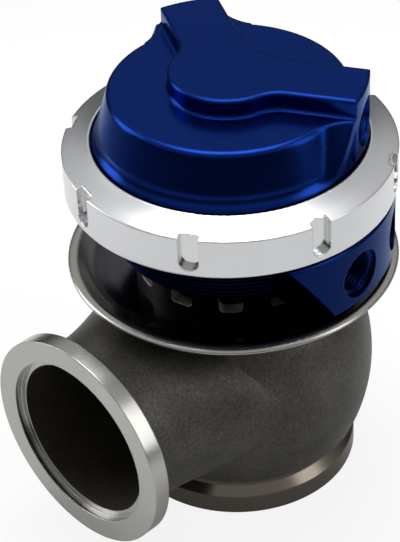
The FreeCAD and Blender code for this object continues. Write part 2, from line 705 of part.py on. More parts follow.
def heat_shield():
    """The polished dish: flat floor, curved wall, sloping lip and rolled edge."""
    body = new_body("heat_shield")
    lip = RING_Z + D.shield_lip_z
    edge_z = RING_Z + D.shield_roll_z
    sheet = D.shield_t
    sine = D.shield_roll_w / 2 / D.shield_roll_r
    cosine = (sized(1) - sine * sine).root()
    roll_start = SHIELD_R - D.shield_roll_w
    turned(body, "dish", [
        (D.gasket_bore_r, SHIELD_Z),
        (SHIELD_FLOOR_R, SHIELD_Z, "bow", D.shield_bowl_r + sheet),
        (SHIELD_LIP_R + sheet * sine, lip - sheet * cosine),
        (roll_start + sheet * sine, edge_z - sheet * cosine, "bow", sheet - D.shield_roll_r),
        (SHIELD_R - sheet * sine, edge_z - sheet * cosine),
        (SHIELD_R, edge_z, "bow", D.shield_roll_r),
        (roll_start, edge_z),
        (SHIELD_LIP_R, lip, "bow", -D.shield_bowl_r),
        (SHIELD_FLOOR_R, RING_Z),
        (D.gasket_bore_r, RING_Z),
    ])
    screw_holes(body, SHIELD_Z - D.edge, RING_Z + D.edge, D.block_turn, D.screw_r + D.screw_hole_gap)
    return body


def slotted_ring():
    """The ring that holds the housing off the hot body, with its row of windows."""
    body = new_body("slotted_ring")
    turned(body, "ring", [
        (D.gasket_bore_r, RING_Z),
        (RING_R, RING_Z),
        (RING_R, RING_TOP),
        (RING_IN_R, RING_TOP),
        (RING_IN_R, RING_Z + D.ring_foot),
        (D.gasket_bore_r, RING_Z + D.ring_foot),
    ])
    screw_holes(body, RING_Z - D.edge, RING_Z + D.ring_foot + D.edge,
                D.block_turn - D.window_turn, D.screw_r + D.screw_hole_gap)
    sill = RING_Z + D.window_sill
    half = D.window_w / 2
    sketch = new_sketch(body, "window", "YZ_Plane", height=RING_IN_R - D.ring_wall)
    outline(sketch, [
        (-half, sill, "round", D.window_round),
        (half, sill, "round", D.window_round),
        (half, sill + D.window_h, "round", D.window_round),
        (-half, sill + D.window_h, "round", D.window_round),
    ])
    window = extrude(body, "window_cut", sketch, D.ring_wall * 3, "Pocket", back=True)
    around(body, "windows", [window], WINDOWS)
    turn_body(body, D.window_turn)
    return body


def heat_gasket():
    """The insulating gasket between the slotted ring and the housing."""
    body = new_body("heat_gasket")
    ring(body, "gasket", RING_IN_R, RING_R, RING_TOP, HOUSING_Z)
    return body


def fin_groove(body, number):
    """One groove of the finned cone, parallel to the others."""
    low = HOUSING_Z + D.fin_first + D.fin_pitch * number
    high = low + D.fin_gap
    outer = FIN_FOOT_R + (high - HOUSING_Z) * D.fin_slope + D.edge
    inner = FIN_FOOT_R + (low - HOUSING_Z) * D.fin_slope - D.fin_depth
    return ring(body, "fin_groove_%d" % number, inner, outer, low, high, "Groove")


def lower_housing():
    """The finned blue housing with its threaded rim, port block and pressure chamber."""
    body = new_body("lower_housing")
    cone_top = COLLAR_Z - D.block_gap
    cone_r = FIN_FOOT_R + (cone_top - HOUSING_Z) * D.fin_slope
    clamp_top = CLAMP_Z + D.clamp_h
    turned(body, "cone", [
        (ZERO, HOUSING_Z),
        (FIN_FOOT_R, HOUSING_Z),
        (cone_r, cone_top),
        (THREAD_R, cone_top),
        (THREAD_R, clamp_top),
        (ZERO, clamp_top),
    ])
    for number in range(FINS):
        fin_groove(body, number)
    block_low = HOUSING_Z - D.block_drop
    sketch = new_sketch(body, "block_end", "YZ_Plane")
    outline(sketch, [
        (-D.block_foot_w, block_low),
        (D.block_foot_w, block_low),
        (D.block_head_w, cone_top),
        (-D.block_head_w, cone_top),
    ])
    extrude(body, "block", sketch, BLOCK_R + D.edge)
    outside = BLOCK_R + BLOCK_R
    turned(body, "block_face", [
        (BLOCK_R, block_low - D.edge),
        (outside, block_low - D.edge),
        (outside, cone_top + D.edge),
        (BLOCK_R - D.block_edge - D.edge, cone_top + D.edge),
        (BLOCK_R, cone_top - D.block_edge),
    ], "Groove")
    ring(body, "block_back", ZERO, FIN_FOOT_R, block_low - D.edge, HOUSING_Z, "Groove")
    boss_top = FLOOR_Z + D.seal_boss_h
    stem_hole = D.stem_r + D.stem_hole_gap
    groove_r = SEAL_R + D.snap_bite
    snap_top = SNAP_Z + D.snap_t
    turned(body, "pressure_chamber", [
        (ZERO, HOUSING_Z - D.edge),
        (stem_hole, HOUSING_Z - D.edge),
        (stem_hole, SEAL_Z),
        (SEAL_R, SEAL_Z),
        (SEAL_R, SNAP_Z),
        (groove_r, SNAP_Z),
        (groove_r, snap_top),
        (SEAL_R, snap_top),
        (SEAL_R, boss_top),
        (SEAL_BOSS_R, boss_top),
        (SEAL_BOSS_R, FLOOR_Z),
        (CHAMBER_R, FLOOR_Z),
        (CLAMP_IN_R, COLLAR_Z),
        (CLAMP_IN_R, CLAMP_Z),
        (CLAMP_OUT_R, CLAMP_Z),
        (CLAMP_OUT_R, clamp_top + D.edge),
        (ZERO, clamp_top + D.edge),
    ], "Groove")
    head_seat = HOUSING_Z + D.screw_seat
    sketch = new_sketch(body, "head_pocket", "XY_Plane", height=head_seat)
    circle(sketch, SCREW_CIRCLE, ZERO, D.screw_head_r + D.screw_hole_gap)
    pocket = extrude(body, "head_pocket_cut", sketch, FLOOR_Z + D.edge - head_seat, "Pocket", back=True)
    around(body, "head_pockets", [pocket], SCREWS)
    screw_holes(body, HOUSING_Z - D.edge, head_seat + D.edge, ZERO, D.screw_r + D.screw_hole_gap)
    port_z = HOUSING_Z + D.port_z
    for name, turn in (("port_a", -D.port_turn), ("port_b", D.port_turn)):
        port(body, name, turn, BLOCK_R, port_z, D.port_d, CHAMBER_R - D.drilling_r)
    turn_body(body, D.block_turn)
    return body


def housing_screws():
    """Six socket screws through the housing and the ring into the body."""
    body = new_body("housing_screws")
    body.AllowCompound = True
    low = D.body_top - D.screw_grip
    seat = HOUSING_Z + D.screw_seat
    top = seat + D.screw_head_h
    sketch = new_sketch(body, "shank", "XY_Plane", height=low)
    circle(sketch, SCREW_CIRCLE * D.block_turn.cos(), SCREW_CIRCLE * D.block_turn.sin(), D.screw_r)
    shank = extrude(body, "shank_pad", sketch, seat - low)
    sketch = new_sketch(body, "head", "XY_Plane", height=seat)
    circle(sketch, SCREW_CIRCLE * D.block_turn.cos(), SCREW_CIRCLE * D.block_turn.sin(), D.screw_head_r)
    head = extrude(body, "head_pad", sketch, D.screw_head_h)
    sketch = new_sketch(body, "socket", "XY_Plane", height=top)
    hexagon(sketch, SCREW_CIRCLE * D.block_turn.cos(), SCREW_CIRCLE * D.block_turn.sin(), D.screw_socket_r)
    socket = extrude(body, "socket_cut", sketch, D.screw_socket_d, "Pocket")
    around(body, "screws", [shank, head, socket], SCREWS)
    return body


def hexagon(sketch, x, y, corner_r):
    """A six-sided outline round a point, by its corner radius."""
    corners = []
    for number in range(HEXAGON):
        angle = SIXTH * number
        corners.append((x + corner_r * angle.cos(), y + corner_r * angle.sin()))
    outline(sketch, corners)


def stem_seal():
    """The lip seal that closes the pressure chamber round the stem."""
    body = new_body("stem_seal")
    ring(body, "seal", D.stem_r + D.stem_gap, SEAL_R, SEAL_Z, SEAL_WASHER_Z)
    return body


def seal_washer():
    """The washer over the stem seal."""
    body = new_body("seal_washer")
    ring(body, "washer", D.stem_r + D.stem_hole_gap, SEAL_R, SEAL_WASHER_Z, SNAP_Z)
    return body


def snap_ring():
    """The open spring ring that holds the stem seal in."""
    body = new_body("snap_ring")
    outer = SEAL_R + D.snap_bite
    high = SNAP_Z + D.snap_t
    ring(body, "snap", outer - D.snap_w, outer, SNAP_Z, high)
    sketch = new_sketch(body, "gap", "XY_Plane", height=SNAP_Z - D.edge)
    reach = outer + D.edge
    corner_x = reach * D.snap_open.cos()
    corner_y = reach * D.snap_open.sin()
    outline(sketch, [(ZERO, ZERO), (corner_x, -corner_y), (corner_x + reach, ZERO), (corner_x, corner_y)])
    extrude(body, "gap_cut", sketch, D.snap_t + D.edge * 2, "Pocket", back=True)
    return body


def diaphragm():
    """The rubber diaphragm: clamped edge, rolled side and flat middle."""
    body = new_body("diaphragm")
    sheet = D.diaphragm_t
    edge_top = CLAMP_Z + D.diaphragm_edge_t
    turned(body, "sheet", [
        (D.stem_thread_r, DIAPHRAGM_Z),
        (DIAPHRAGM_FLAT_R, DIAPHRAGM_Z, "round", sheet * 2),
        (CLAMP_IN_R - D.edge, CLAMP_Z),
        (CLAMP_OUT_R - D.edge, CLAMP_Z),
        (CLAMP_OUT_R - D.edge, edge_top),
        (CLAMP_IN_R - sheet, edge_top),
        (DIAPHRAGM_FLAT_R - D.edge, CUP_Z, "round", sheet),
        (D.stem_thread_r, CUP_Z),
    ])
    return body


def diaphragm_plate():
    """The plate under the middle of the diaphragm."""
    body = new_body("diaphragm_plate")
    plate_r = CUP_R - D.plate_in
    turned(body, "plate", [
        (D.stem_thread_r, PLATE_Z),
        (plate_r - D.edge, PLATE_Z),
        (plate_r, PLATE_Z + D.edge),
        (plate_r, DIAPHRAGM_Z),
        (D.stem_thread_r, DIAPHRAGM_Z),
    ])
    return body


def spring_cup():
    """The cup over the diaphragm that carries the springs."""
    body = new_body("spring_cup")
    turned(body, "cup", [
        (D.stem_thread_r, CUP_Z),
        (CUP_R, CUP_Z, "round", D.edge),
        (CUP_R, SPRING_Z + D.cup_rim),
        (CUP_R - D.cup_t, SPRING_Z + D.cup_rim),
        (CUP_R - D.cup_t, SPRING_Z),
        (CUP_STEP_R + D.edge, SPRING_Z),
        (CUP_STEP_R, SPRING_Z + D.cup_step),
        (CUP_STEP_R - D.cup_t + D.edge, SPRING_Z + D.cup_step),
        (CUP_STEP_R - D.cup_t, SPRING_Z),
        (D.stem_thread_r, SPRING_Z),
    ])
    return body


def stem_washer():
    """The washer under the stem nut."""
    body = new_body("stem_washer")
    ring(body, "washer", D.stem_thread_r, D.washer_r, WASHER_Z, NUT_Z)
    return body


def stem_nut():
    """The nut that clamps the diaphragm and the plates to the stem."""
    body = new_body("stem_nut")
    sketch = new_sketch(body, "hexagon", "XY_Plane", height=NUT_Z)
    hexagon(sketch, ZERO, ZERO, D.nut_flats / (SIXTH / 2).cos() / 2)
    extrude(body, "nut", sketch, D.nut_h)
    ring(body, "thread_hole", ZERO, D.stem_thread_r, NUT_Z - D.edge, NUT_Z + D.nut_h + D.edge, "Groove")
    return body


def coil_spring(label, wire, coil_r, turns):
    """A steel spring with ground ends, from the spring cup to the cap's roof."""
    length = ROOF_Z - SPRING_Z
    pitch = (length - wire * 0.5) / turns
    helix = DOC.addObject("Part::Helix", label + "_path")
    helix.setExpression("Pitch", pitch.text)
    helix.setExpression("Height", (length - wire * 0.5).text)
    helix.setExpression("Radius", coil_r.text)
    start_z = SPRING_Z + wire * 0.25
    helix.Placement = FreeCAD.Placement(FreeCAD.Vector(0, 0, start_z.value), FreeCAD.Rotation())
    helix.setExpression("Placement.Base.z", start_z.text)
    section = DOC.addObject("Part::Circle", label + "_section")
    section.setExpression("Radius", (wire / 2).text)
    upright = FreeCAD.Rotation(FreeCAD.Vector(1, 0, 0), 90)
    section.Placement = FreeCAD.Placement(FreeCAD.Vector(coil_r.value, 0, helix.Placement.Base.z), upright)
    section.setExpression("Placement.Base.x", coil_r.text)
    section.setExpression("Placement.Base.z", start_z.text)
    sweep = DOC.addObject("Part::Sweep", label + "_wire")
    sweep.Sections = [section]
    sweep.Spine = (helix, ["Edge1"])
    sweep.Solid = True
    sweep.Frenet = True
    grind = DOC.addObject("Part::Cylinder", label + "_ground")
    grind.setExpression("Radius", (coil_r + wire).text)
    grind.setExpression("Height", length.text)
    grind.Placement = FreeCAD.Placement(FreeCAD.Vector(0, 0, SPRING_Z.value), FreeCAD.Rotation())
    grind.setExpression("Placement.Base.z", SPRING_Z.text)
    spring = DOC.addObject("Part::Common", label)
    spring.Base = sweep
    spring.Tool = grind
    spring.Label = label
    return spring


def lock_collar():
    """The bright lock collar: threaded skirt, lip over the cap and tool notches."""
    body = new_body("lock_collar")
    inner = THREAD_R + D.thread_gap
    lip_low = FLANGE_TOP + D.cap_gap
    bevel_r = COLLAR_R - D.collar_bevel_w
    turned(body, "collar", [
        (inner, COLLAR_Z),
        (COLLAR_R - D.edge, COLLAR_Z),
        (COLLAR_R, COLLAR_Z + D.edge),
        (COLLAR_R, COLLAR_Z + D.collar_wall_h),
        (bevel_r, COLLAR_Z + D.collar_bevel_h),
        (COLLAR_LIP_R, COLLAR_TOP, "round", D.edge),
        (COLLAR_LIP_R, lip_low),
        (inner, lip_low),
    ])
    half = D.notch_w / 2
    foot = COLLAR_Z + D.notch_low + half
    sketch = new_sketch(body, "notch", "YZ_Plane", height=COLLAR_R - D.notch_d)
    outline(sketch, [
        (-half, foot, "bow", D.notch_round),
        (half, foot),
        (half, COLLAR_TOP + D.edge),
        (-half, COLLAR_TOP + D.edge),
    ])
    notch = extrude(body, "notch_cut", sketch, D.notch_d * 2, "Pocket", back=True)
    around(body, "notches", [notch], NOTCHES)
    turn_body(body, D.notch_turn)
    return body


def boss_plan(sketch, arm_end):
    """The hub with its two arms, and the hollows that join them, drawn about +Y.

    An arm's corner lies along it by a length and beside it by a width.
    """
    lean = RIGHT - D.arm_turn
    along_x, along_y = lean.cos(), lean.sin()

    def right(along, beside):
        return along_x * along - along_y * beside, along_y * along + along_x * beside

    def left(point):
        return -point[0], point[1]

    def leg(long_side, short_side):
        return (long_side * long_side - short_side * short_side).root()

    hollow = D.arm_w + D.arm_front_round
    reach = D.hub_r + D.arm_front_round
    root = leg(reach, hollow)
    hub_end = right(root * D.hub_r / reach, -(hollow * D.hub_r / reach))
    arm_start = right(root, -D.arm_w)
    tip = leg(arm_end, D.arm_w)
    front = right(tip, -D.arm_w)
    back = right(tip, D.arm_w)
    valley = right((D.arm_w + D.arm_back_round) * along_y / along_x, D.arm_w)
    outline(sketch, [
        (*hub_end, "bow", -D.arm_front_round),
        arm_start,
        (*front, "bow", arm_end),
        back,
        (*valley, "bow", -D.arm_back_round),
        left(valley),
        (*left(back), "bow", arm_end),
        left(front),
        (*left(arm_start), "bow", -D.arm_front_round),
        (*left(hub_end), "bow", D.hub_r),
    ])


def lobe(body, name, turn, foot, arm_end):
    """The wall's swelling under an arm, which widens from the deck down to the foot."""
    lean = D.cap_lean / (D.cap_h - D.cap_flare_h - D.cap_flare_w)
    deck = lobe_plan(body, name + "_deck", turn, DECK_Z, CAP_DECK_R - D.lobe_sink,
                     D.lobe_deck_turn, (D.arm_w + D.lobe_ledge) / ARM_R, D.lobe_deck_round, arm_end)
    wall_r = CAP_DECK_R + (DECK_Z - foot) * lean - D.lobe_sink
    base = lobe_plan(body, name + "_base", turn, foot, wall_r,
                     D.lobe_foot_turn, D.lobe_foot_end.sin(), D.lobe_foot_round, arm_end)
    loft = body.newObject("PartDesign::AdditiveLoft", name)
    loft.Profile = deck
    loft.Sections = [base]
    loft.Ruled = True


def lobe_plan(body, name, turn, height, wall_r, start_turn, end_sine, hollow, arm_end):
    """A level section of a lobe: a hollow from the wall out to the arm's end, on both sides."""
    sketch = new_sketch(body, name, "XY_Plane", height=height)
    end_cosine = (sized(1) - end_sine * end_sine).root()

    def place(radius, cosine, sine):
        return (radius * (turn.cos() * cosine - turn.sin() * sine),
                radius * (turn.sin() * cosine + turn.cos() * sine))

    start_right = place(wall_r, start_turn.cos(), -start_turn.sin())
    start_left = place(wall_r, start_turn.cos(), start_turn.sin())
    end_right = place(arm_end, end_cosine, -end_sine)
    end_left = place(arm_end, end_cosine, end_sine)
    outline(sketch, [
        (*start_right, "bow", -hollow),
        end_right,
        (*end_left, "bow", -hollow),
        start_left,
    ])
    return sketch


def round_edges(body, name, height, limit, radius):
    """Round the edges of the tip that lie at one height and within a radius of the axis."""
    DOC.recompute()
    base = body.Tip
    chosen = []
    for number, line in enumerate(base.Shape.Edges, start=1):
        box = line.BoundBox
        off_level = abs(box.ZMin - height.value) + abs(box.ZMax - height.value)
        middle = line.valueAt((line.FirstParameter + line.LastParameter) / 2)
        if off_level < D.seat_gap.value and math.hypot(middle.x, middle.y) < limit.value:
            chosen.append("Edge%d" % number)
    fillet = body.newObject("PartDesign::Fillet", name)
    fillet.Base = (base, chosen)
    fillet.Radius = radius.value
    fillet.setExpression("Radius", radius.text)
    return fillet


def top_cap():
    """The blue cap: flange under the collar, sloping wall, deck, hub, arms and ports."""
    body = new_body("top_cap")
    flange_r = THREAD_R - D.cap_flange_gap
    bore_r = CAP_NECK_R - D.cap_wall
    beyond = ARM_R + D.edge * 2
    turned(body, "dome", [
        (ZERO, CAP_Z),
        (flange_r, CAP_Z),
        (flange_r, FLANGE_TOP),
        (CAP_NECK_R, FLANGE_TOP),
        (CAP_NECK_R, COLLAR_TOP),
        (CAP_NECK_R - D.edge, CAP_FOOT_Z, "bow", -D.cap_flare_round),
        (CAP_WALL_R, CAP_FOOT_Z + D.cap_flare_w),
        (CAP_DECK_R, DECK_Z, "round", D.cap_round),
        (ZERO, DECK_Z),
    ])
    foot = CAP_FOOT_Z + D.edge
    sketch = new_sketch(body, "boss_plan", "XY_Plane", height=foot)
    boss_plan(sketch, beyond)
    extrude(body, "boss", sketch, BOSS_TOP - foot)
    lobe(body, "lobe_right", RIGHT - D.arm_turn, foot, beyond)
    lobe(body, "lobe_left", RIGHT + D.arm_turn, foot, beyond)
    ring(body, "arm_ends", ARM_R, beyond + D.edge * 2, foot - D.edge, BOSS_TOP + D.edge, "Groove")
    round_edges(body, "boss_round", BOSS_TOP, beyond, D.boss_edge)
    round_edges(body, "boss_hollow", DECK_Z, CAP_DECK_R - D.cap_round * 2, D.boss_foot)
    turned(body, "spring_chamber", [
        (ZERO, CAP_Z - D.edge),
        (bore_r, CAP_Z - D.edge),
        (bore_r, FLANGE_TOP),
        (CAP_ROOF_R, ROOF_Z),
        (ZERO, ROOF_Z),
    ], "Groove")
    port_z = DECK_Z - D.cap_port_z
    for name, turn in (("port_right", RIGHT - D.arm_turn), ("port_left", RIGHT + D.arm_turn)):
        port(body, name, turn, ARM_R, port_z, D.cap_port_d, CAP_ROOF_R - D.drilling_r)
    return body


BUILDERS = (
    valve_body, valve_seat, valve, valve_guide, stem_scraper, body_gasket, heat_shield, slotted_ring,
    heat_gasket, lower_housing, housing_screws, stem_seal, seal_washer, snap_ring, diaphragm,
    diaphragm_plate, spring_cup, stem_washer, stem_nut, lock_collar, top_cap,
)

pieces = [build() for build in BUILDERS]
pieces.append(coil_spring("outer_spring", D.outer_wire, OUTER_COIL_R, D.outer_turns))
pieces.append(coil_spring("middle_spring", D.middle_wire, MIDDLE_COIL_R, D.middle_turns))
pieces.append(coil_spring("inner_spring", D.inner_wire, D.inner_coil_r, D.inner_turns))

DOC.recompute()

faults = [item.Name for item in DOC.Objects if "Invalid" in item.State or "Error" in item.State]
if faults:
    raise RuntimeError("objects that failed: " + ", ".join(faults))
for piece in pieces:
    if piece.Shape.isNull() or not piece.Shape.isValid():
        raise RuntimeError("bad shape: " + piece.Label)
for piece in pieces:
    piece.Shape.exportStep("parts/%s.step" % piece.Label)
    print("%-16s %2d solids  %10.1f mm3" % (piece.Label, len(piece.Shape.Solids), piece.Shape.Volume))
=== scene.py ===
# %% [markdown]
# This lesson dresses a turbo wastegate. The solids come from CAD and are never moved.
# Blender gives them smooth shading, the finish that each piece has on the real object,
# and the fine detail that CAD leaves out, such as threads and tool marks.

# %% Load the frame
import json
import math

import bmesh
import bpy
import numpy as np
from mathutils import Matrix, Vector


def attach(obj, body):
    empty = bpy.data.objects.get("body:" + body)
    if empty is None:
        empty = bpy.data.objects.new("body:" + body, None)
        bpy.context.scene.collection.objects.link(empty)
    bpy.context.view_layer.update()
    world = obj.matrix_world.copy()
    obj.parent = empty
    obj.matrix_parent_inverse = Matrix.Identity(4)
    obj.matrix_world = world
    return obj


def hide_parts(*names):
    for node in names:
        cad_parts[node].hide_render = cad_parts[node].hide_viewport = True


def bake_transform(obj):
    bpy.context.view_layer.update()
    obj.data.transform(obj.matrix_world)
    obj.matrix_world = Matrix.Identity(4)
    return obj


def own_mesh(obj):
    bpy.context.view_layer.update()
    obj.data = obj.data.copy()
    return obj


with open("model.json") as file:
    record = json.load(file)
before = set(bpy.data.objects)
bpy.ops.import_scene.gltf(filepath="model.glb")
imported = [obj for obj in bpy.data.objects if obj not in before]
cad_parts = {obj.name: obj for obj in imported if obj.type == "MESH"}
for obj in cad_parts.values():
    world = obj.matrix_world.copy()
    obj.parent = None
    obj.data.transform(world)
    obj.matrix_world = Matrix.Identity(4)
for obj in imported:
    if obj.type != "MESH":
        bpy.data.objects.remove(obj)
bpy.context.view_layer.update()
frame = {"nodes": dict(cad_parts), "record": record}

MM = 0.001
print("nodes:", len(frame["nodes"]))

# %% [markdown]
# The photograph looks down on the outlet's right. The camera stands where a fit of the
# object's circles puts it. The frame is upright, so the 36 mm sensor is its long side.

# %% Camera
AZIMUTH = 46.4
ELEVATION = 37.53
ROLL = -2.57
FOCAL = 142.1
SENSOR = 36.0
NEAREST = 0.01
CAMERA_AT = (0.30523, -0.30252, 0.38534)


def placed(name, data):
    """A new object of some data, linked to the scene."""
    thing = bpy.data.objects.new(name, data)
    bpy.context.scene.collection.objects.link(thing)
    return thing


def camera_axes(azimuth, elevation, roll):
    """Right, up and backward axes of the camera.

    Backward points from the object to the camera. Right lies level before the roll,
    and the roll turns right and up about backward.
    """
    a, e, r = np.radians([azimuth, elevation, roll])
    back = np.array([np.sin(a) * np.cos(e), -np.cos(a) * np.cos(e), np.sin(e)])
    right = np.array([np.cos(a), np.sin(a), 0.0])
    up = np.cross(back, right)
    return np.cos(r) * right + np.sin(r) * up, np.cos(r) * up - np.sin(r) * right, back


camera = placed("camera", bpy.data.cameras.new("camera"))
turn = np.eye(4)
turn[:3, :3] = np.stack(camera_axes(AZIMUTH, ELEVATION, ROLL), axis=1)
turn[:3, 3] = CAMERA_AT
camera.matrix_world = Matrix(turn.tolist())
camera.data.lens = FOCAL
camera.data.sensor_width = SENSOR
camera.data.clip_start = NEAREST
bpy.context.scene.camera = camera
bpy.context.scene.view_settings.view_transform = "Standard"

# %% [markdown]
# A material in Blender is a small graph of nodes. One function adds a node and fills its
# sockets, and another starts a material, so each finish below stays short. Noise mostly
# lies between 0.3 and 0.7, so that part of it is stretched over the range of a finish.

# %% Helpers for materials
OUTLET_Z = 33.9
NOISE_LOW, NOISE_HIGH = 0.3, 0.7
EDGE_SAMPLES = 6


def colour(hex_code):
    """An sRGB hex colour as the linear colour that shaders work in."""
    srgb = np.array([int(hex_code[i:i + 2], 16) for i in (1, 3, 5)]) / 255
    linear = np.where(srgb <= 0.04045, srgb / 12.92, ((srgb + 0.055) / 1.055) ** 2.4)
    return (*linear, 1.0)


def fill(tree, node, inputs):
    """Link or set a node's sockets, by name or number; a tuple fills them in order."""
    for socket, value in inputs.items() if isinstance(inputs, dict) else enumerate(inputs):
        if isinstance(value, bpy.types.NodeSocket):
            tree.links.new(value, node.inputs[socket])
        else:
            node.inputs[socket].default_value = value


def add(tree, kind, inputs=(), **fields):
    """Add one node with its settings and links."""
    node = tree.nodes.new(kind)
    for field, value in fields.items():
        setattr(node, field, value)
    fill(tree, node, inputs)
    return node


def start(name):
    """A new material: its tree, its main shader and the place on the object in metres."""
    material = bpy.data.materials.new(name)
    material.use_nodes = True
    tree = material.node_tree
    shader = tree.nodes["Principled BSDF"]
    place = add(tree, "ShaderNodeTexCoord").outputs["Object"]
    return material, tree, shader, place


def clouded(tree, place, cells, detail, dark, light):
    """A colour that drifts between two tones in soft clouds, so many cells to a metre."""
    cloud = add(tree, "ShaderNodeTexNoise", {"Vector": place, "Scale": cells, "Detail": detail})
    tones = {0: cloud.outputs["Fac"], 6: dark, 7: light}
    return add(tree, "ShaderNodeMix", tones, data_type="RGBA").outputs[2]


def pressed(tree, shader, pattern, smooth, rough, depth, edge):
    """Let a pattern vary the roughness and press its relief into softened edges.

    Roughness runs from smooth to rough. Depth and the edges' radius are in metres.
    """
    satin = add(tree, "ShaderNodeMapRange", (pattern, NOISE_LOW, NOISE_HIGH, smooth, rough))
    edges = add(tree, "ShaderNodeBevel", {"Radius": edge}, samples=EDGE_SAMPLES)
    relief = add(tree, "ShaderNodeBump", {
        "Height": pattern, "Distance": depth, "Strength": 1.0, "Normal": edges.outputs["Normal"]})
    fill(tree, shader, {"Roughness": satin.outputs["Result"], "Normal": relief.outputs["Normal"]})


def turned_marks(tree, place, pitch, about="Z"):
    """Fine rings that a lathe leaves, spaced by pitch in metres, a little uneven.

    The value changes with radius less height, so it rings flat faces and walls alike.
    Rings about Y are centred on the outlet's axis, and rings about Z on the valve's.
    """
    centre = (0, 0, OUTLET_Z * MM if about == "Y" else 0)
    centred = add(tree, "ShaderNodeVectorMath", (place, centre), operation="SUBTRACT")
    parts = add(tree, "ShaderNodeSeparateXYZ", {"Vector": centred.outputs["Vector"]})
    other = parts.outputs["Z" if about == "Y" else "Y"]
    flat = add(tree, "ShaderNodeCombineXYZ", {"X": parts.outputs["X"], "Y": other})
    radius = add(tree, "ShaderNodeVectorMath", (flat.outputs["Vector"],), operation="LENGTH")
    total = add(tree, "ShaderNodeMath", (radius.outputs["Value"], parts.outputs[about]),
                operation="SUBTRACT")
    rings = add(tree, "ShaderNodeMath", (total.outputs["Value"], 1.0 / pitch),
                operation="MULTIPLY")
    line = {"W": rings.outputs["Value"], "Scale": 1.0, "Detail": 1.0}
    return add(tree, "ShaderNodeTexNoise", line, noise_dimensions="1D").outputs["Fac"]


# %% [markdown]
# Anodised aluminium is metal under a thin dyed glassy layer. The dye colours the
# reflection itself, so the shader is a blue metal. A satin roughness spreads the lamps
# into soft bands, and a fine etched grain breaks them up. The real grain, of some
# hundredths of a millimetre, is drawn at 0.3 mm, as fine as the picture can show.

# %% Blue anodised aluminium
CLOUD_CELLS = 60.0
ETCH_CELLS = 3000.0
ETCH_DEPTH = 0.001 * MM
DYE_TINT = (0.62, 0.7, 0.9, 1.0)


def blue_anodised(name, dark, light, rough, edge):
    """Dyed aluminium with a fine etched grain and softened edges.

    The dye also tints what is mirrored at a slant, which bare metal would show white.
    """
    material, tree, shader, place = start(name)
    tone = clouded(tree, place, CLOUD_CELLS, 2.0, colour(dark), colour(light))
    etch = add(tree, "ShaderNodeTexNoise", {"Vector": place, "Scale": ETCH_CELLS, "Detail": 2.0})
    pressed(tree, shader, etch.outputs["Fac"], rough - 0.03, rough + 0.03, ETCH_DEPTH, edge)
    fill(tree, shader, {"Base Color": tone, "Metallic": 1.0, "Specular Tint": DYE_TINT})
    return material


cap_blue = blue_anodised("blue_anodised_cap", "#0c266a", "#0e2a72", 0.23, 1.2 * MM)
housing_blue = blue_anodised("blue_anodised_housing", "#091847", "#0a1b4e", 0.26, 0.4 * MM)
# The ports' darker blue is painted shade, for the depth of the holes.
port_blue_painted_shade = blue_anodised("blue_anodised_port_painted_shade", "#040a26", "#050d2e", 0.34, 0.1 * MM)

# %% [markdown]
# Lathe-cut metal shows fine rings, which spread a reflection across them. The collar is
# aluminium, turned bright and clear anodised, so its rings are faint and its reflections
# only stretch a little, as the shader's anisotropy about Z does. The rims of the body are
# turned stainless steel, and the guide and scraper are bronze. Stamped, plated and
# heat-treated steel shows an even grain instead.

# %% Satin and polished metals


def darker(tone, share):
    """A linear colour at a share of its strength."""
    return (*[part * share for part in tone[:3]], 1.0)


def turned_metal(name, shade, rough, pitch, depth, stretch=0.0, about="Z", edge=0.3 * MM):
    """Lathe-cut metal with rings about an axis, whose reflections may stretch."""
    material, tree, shader, place = start(name)
    tone = colour(shade)
    marks = turned_marks(tree, place, pitch, about)
    pressed(tree, shader, marks, rough * 0.98, rough * 1.03, depth, edge)
    fill(tree, shader, {
        "Base Color": clouded(tree, place, CLOUD_CELLS, 2.0, darker(tone, 0.9), tone),
        "Metallic": 1.0})
    if stretch:
        ahead = add(tree, "ShaderNodeTangent", direction_type="RADIAL", axis=about)
        fill(tree, shader, {"Anisotropic": stretch, "Tangent": ahead.outputs["Tangent"]})
    return material


def grained_metal(name, shade, rough, grain, depth):
    """Metal with an even fine grain, such as stamped, plated or heat-treated steel."""
    material, tree, shader, place = start(name)
    tone = colour(shade)
    fine = add(tree, "ShaderNodeTexNoise", {"Vector": place, "Scale": 1.0 / grain, "Detail": 3.0})
    pressed(tree, shader, fine.outputs["Fac"], rough * 0.85, rough * 1.2, depth, 0.2 * MM)
    fill(tree, shader, {
        "Base Color": clouded(tree, place, 2 * CLOUD_CELLS, 4.0, darker(tone, 0.8), tone),
        "Metallic": 1.0})
    return material


collar_silver = turned_metal(
    "satin_silver", "#d4d5d7", 0.28, 0.6 * MM, 0.000012 * MM, stretch=0.2, edge=0.6 * MM)
notch_silver = turned_metal("milled_silver", "#d4d5d6", 0.14, 0.5 * MM, 0.0001 * MM)
outlet_steel = turned_metal(
    "turned_outlet_rim", "#aaa9a5", 0.24, 0.4 * MM, 0.0001 * MM, about="Y", edge=0.5 * MM)
# The inlet rim's darker tone is painted shade, for the shadowed floor it mirrors near the foot.
inlet_steel_painted_shade = turned_metal(
    "turned_inlet_rim_painted_shade", "#6c655d", 0.22, 0.4 * MM, 0.0001 * MM, edge=0.5 * MM)
